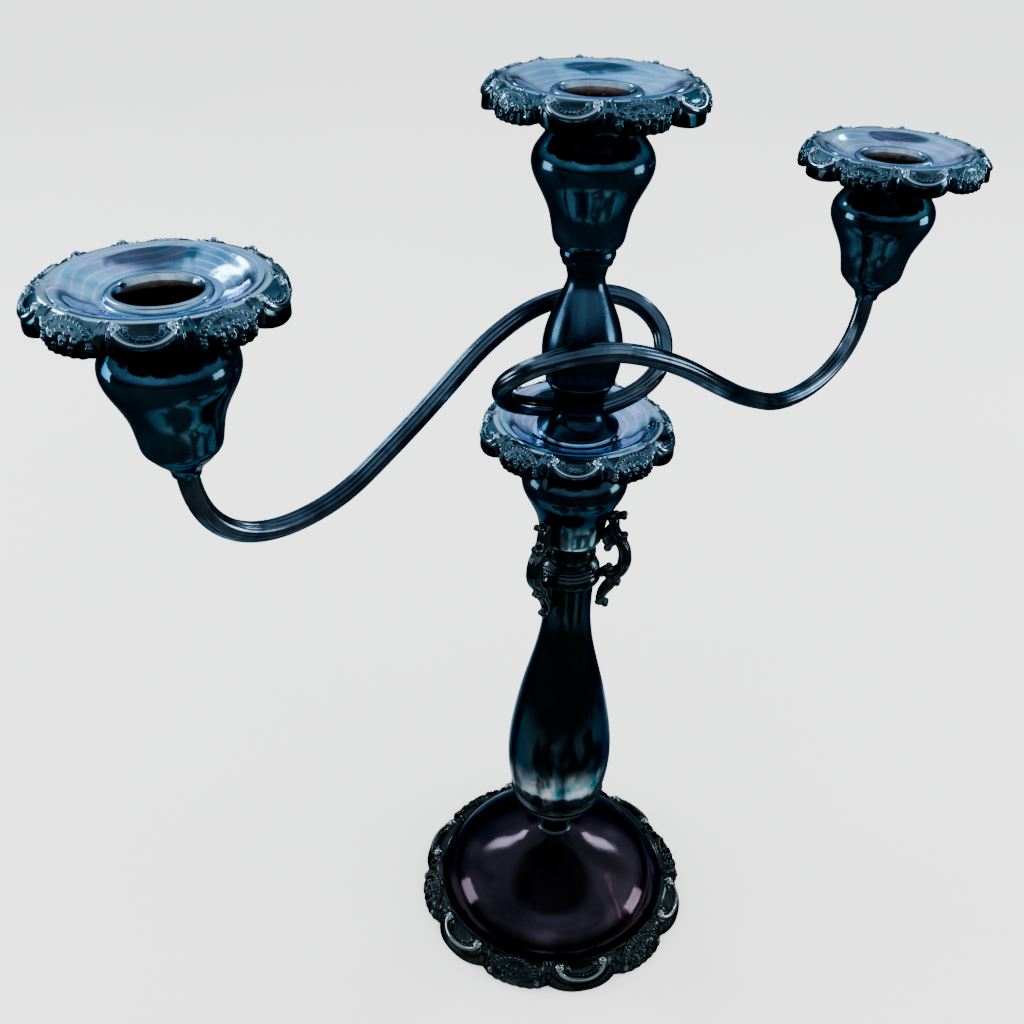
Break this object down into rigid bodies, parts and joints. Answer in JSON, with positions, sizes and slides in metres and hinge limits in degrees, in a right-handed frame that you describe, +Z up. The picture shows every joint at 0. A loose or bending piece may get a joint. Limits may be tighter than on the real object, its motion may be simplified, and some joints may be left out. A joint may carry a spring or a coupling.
{
  "type": "tabletop candelabra",
  "caption": "Silver-plated tabletop candelabra: a domed candlestick whose branch of two looping arms lifts out, with a loose ornate drip pan in each candle cup.",
  "frame": {"origin": "centre of the base on the surface that it stands on", "axes": "+Z up along the stem, +X towards the cup of one arm, so both arms lie along X"},
  "size_m": [0.3729, 0.129, 0.384],
  "materials": {
    "silver_pan": "polished silver plate, blue tarnish",
    "silver_pan_border": "cast silver plate, oxidised recesses",
    "silver_cup": "polished silver plate, dark navy tarnish",
    "silver_arm": "polished silver plate, dark tarnish",
    "silver_stem": "polished silver plate, dark tarnish",
    "silver_dome": "polished silver plate, purple-black tarnish",
    "silver_base_border": "cast silver plate, oxidised recesses",
    "silver_bracket": "cast silver plate, oxidised recesses",
    "brass": "dull brass",
    "steel": "plain steel",
    "felt": "wool felt"
  },
  "bodies": {
    "candlestick": {"base_dome": "silver_dome", "base_border": "silver_base_border", "felt_pad": "felt", "base_plate": "steel", "base_washer": "steel", "base_nut": "brass", "stem_rod": "brass", "stem_nut": "brass", "base_neck": "silver_stem", "stem_collar": "silver_stem", "stem_baluster": "silver_stem", "lower_knop": "silver_stem", "upper_knop": "silver_stem", "scroll_bracket_1": "silver_bracket", "scroll_bracket_2": "silver_bracket", "scroll_bracket_3": "silver_bracket", "cup_lower": "silver_cup", "liner_lower": "brass"},
    "lower_pan": {"pan_dish_lower": "silver_pan", "pan_border_lower": "silver_pan_border", "nozzle_lower": "silver_pan"},
    "branch_plug": {"branch_plug": "brass"},
    "branch": {"branch_foot": "silver_stem", "branch_stem": "silver_stem", "top_collar": "silver_stem", "branch_rod": "brass", "branch_nut": "brass", "plug_washer": "steel", "plug_nut": "brass", "arm_left": "silver_arm", "arm_right": "silver_arm", "arm_socket_left": "silver_arm", "arm_socket_right": "silver_arm", "cup_screw_left": "brass", "cup_screw_right": "brass", "cup_left": "silver_cup", "cup_right": "silver_cup", "cup_top": "silver_cup", "liner_left": "brass", "liner_right": "brass", "liner_top": "brass"},
    "pan_left": {"pan_dish_left": "silver_pan", "pan_border_left": "silver_pan_border", "nozzle_left": "silver_pan"},
    "pan_right": {"pan_dish_right": "silver_pan", "pan_border_right": "silver_pan_border", "nozzle_right": "silver_pan"},
    "pan_top": {"pan_dish_top": "silver_pan", "pan_border_top": "silver_pan_border", "nozzle_top": "silver_pan"}
  },
  "joints": [
    {"name": "lower_pan_lift", "type": "slide", "parent": "candlestick", "child": "lower_pan", "axis": [0, 0, 1], "range_m": [0, 0.04]},
    {"name": "branch_lift", "type": "slide", "parent": "lower_pan", "child": "branch_plug", "axis": [0, 0, 1], "range_m": [0, 0.04]},
    {"name": "branch_turn", "type": "hinge", "parent": "branch_plug", "child": "branch", "pos_m": [0, 0, 0.2573], "axis": [0, 0, 1], "continuous": true},
    {"name": "pan_left_lift", "type": "slide", "parent": "branch", "child": "pan_left", "axis": [0, 0, 1], "range_m": [0, 0.04]},
    {"name": "pan_right_lift", "type": "slide", "parent": "branch", "child": "pan_right", "axis": [0, 0, 1], "range_m": [0, 0.04]},
    {"name": "pan_top_lift", "type": "slide", "parent": "branch", "child": "pan_top", "axis": [0, 0, 1], "range_m": [0, 0.04]}
  ]
}
